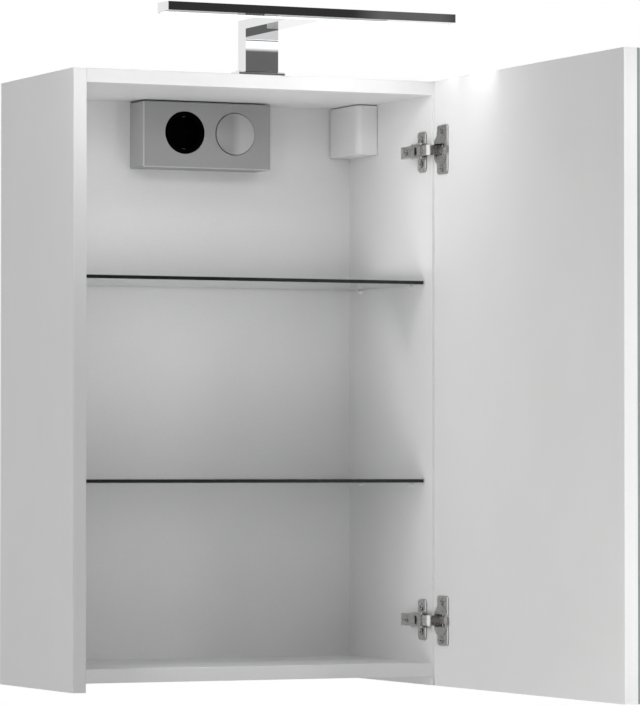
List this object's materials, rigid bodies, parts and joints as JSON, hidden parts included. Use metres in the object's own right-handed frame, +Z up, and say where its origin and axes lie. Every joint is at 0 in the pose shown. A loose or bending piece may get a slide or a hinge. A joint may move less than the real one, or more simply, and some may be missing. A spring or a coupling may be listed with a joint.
{
  "type": "mirror cabinet",
  "caption": "Wall mirror cabinet with one hinged mirrored door, glass shelves, a socket and switch box inside and a lamp bar on top.",
  "frame": {"origin": "centre of the flat rear face that lies against the wall", "axes": "+Y into the wall, +Z up, +X to the right seen from the front, on the side of the hinges"},
  "size_m": [0.467, 0.697, 0.7644],
  "materials": {
    "white_board": "white melamine faced particle board with white edge banding, matt to satin",
    "back_board": "thin white coated fibreboard, matt",
    "dowel_wood": "raw beech",
    "zinc_fitting": "zinc plated",
    "rubber_black": "matt",
    "shelf_glass": "clear float glass with ground dark edges",
    "mirror_glass": "silvered mirror with ground edges",
    "hinge_nickel": "nickel plated pressed steel, satin",
    "hinge_dark": "polished nickel",
    "cap_plastic": "white moulded plastic, satin",
    "lamp_chrome": "polished chrome",
    "diffuser_plastic": "opal white",
    "board_white": "white circuit board",
    "box_silver": "silver grey paint, satin",
    "socket_black": "black moulded plastic",
    "contact_brass": "bare brass",
    "button_silver": "silver grey, satin",
    "module_grey": "moulded plastic"
  },
  "bodies": {
    "cabinet": {"arm_rivet_lower": "hinge_nickel", "arm_rivet_upper": "hinge_nickel", "arm_screw_lower": "hinge_nickel", "arm_screw_upper": "hinge_nickel", "back_panel": "back_board", "bottom_panel": "white_board", "box_cover": "box_silver", "box_housing": "box_silver", "box_screws": "zinc_fitting", "cable_grommet": "rubber_black", "cam_bolts": "zinc_fitting", "cam_locks": "zinc_fitting", "contact_sleeves": "contact_brass", "earth_clips": "contact_brass", "glass_shelf_lower": "shelf_glass", "glass_shelf_upper": "shelf_glass", "gooseneck_lower": "hinge_dark", "gooseneck_upper": "hinge_dark", "hanger_body_left": "zinc_fitting", "hanger_body_right": "zinc_fitting", "hanger_cap_left": "cap_plastic", "hanger_cap_right": "cap_plastic", "hanger_hook_left": "zinc_fitting", "hanger_hook_right": "zinc_fitting", "hanger_screws_left": "zinc_fitting", "hanger_screws_right": "zinc_fitting", "height_screw_left": "zinc_fitting", "height_screw_right": "zinc_fitting", "hinge_arm_lower": "hinge_nickel", "hinge_arm_upper": "hinge_nickel", "lamp_arm": "lamp_chrome", "lamp_base": "lamp_chrome", "lamp_diffuser": "diffuser_plastic", "lamp_end_caps": "lamp_chrome", "lamp_housing": "lamp_chrome", "lamp_screws": "lamp_chrome", "led_board": "board_white", "led_driver": "module_grey", "mounting_plate_lower": "hinge_nickel", "mounting_plate_upper": "hinge_nickel", "plate_screws_lower": "hinge_nickel", "plate_screws_upper": "hinge_nickel", "shelf_pins": "cap_plastic", "side_panel_left": "white_board", "side_panel_right": "white_board", "socket_insert": "socket_black", "switch_module": "module_grey", "terminal_block": "board_white", "top_panel": "white_board", "wood_dowels": "dowel_wood"},
    "door": {"door_board": "white_board", "door_mirror": "mirror_glass", "hinge_cup_upper": "hinge_nickel", "hinge_cup_lower": "hinge_nickel", "cup_screws_upper": "hinge_nickel", "cup_screws_lower": "hinge_nickel", "hinge_pin_upper": "hinge_dark", "hinge_pin_lower": "hinge_dark"},
    "button": {"switch_button": "button_silver"}
  },
  "joints": [
    {"name": "door_swing", "type": "hinge", "parent": "cabinet", "child": "door", "pos_m": [0.2236, -0.2424, 0], "axis": [0, 0, 1], "range_deg": [-90, 10]},
    {"name": "switch_press", "type": "slide", "parent": "cabinet", "child": "button", "axis": [0, 1, 0], "range_m": [0, 0.0025], "stiffness_N_per_m": 600}
  ]
}
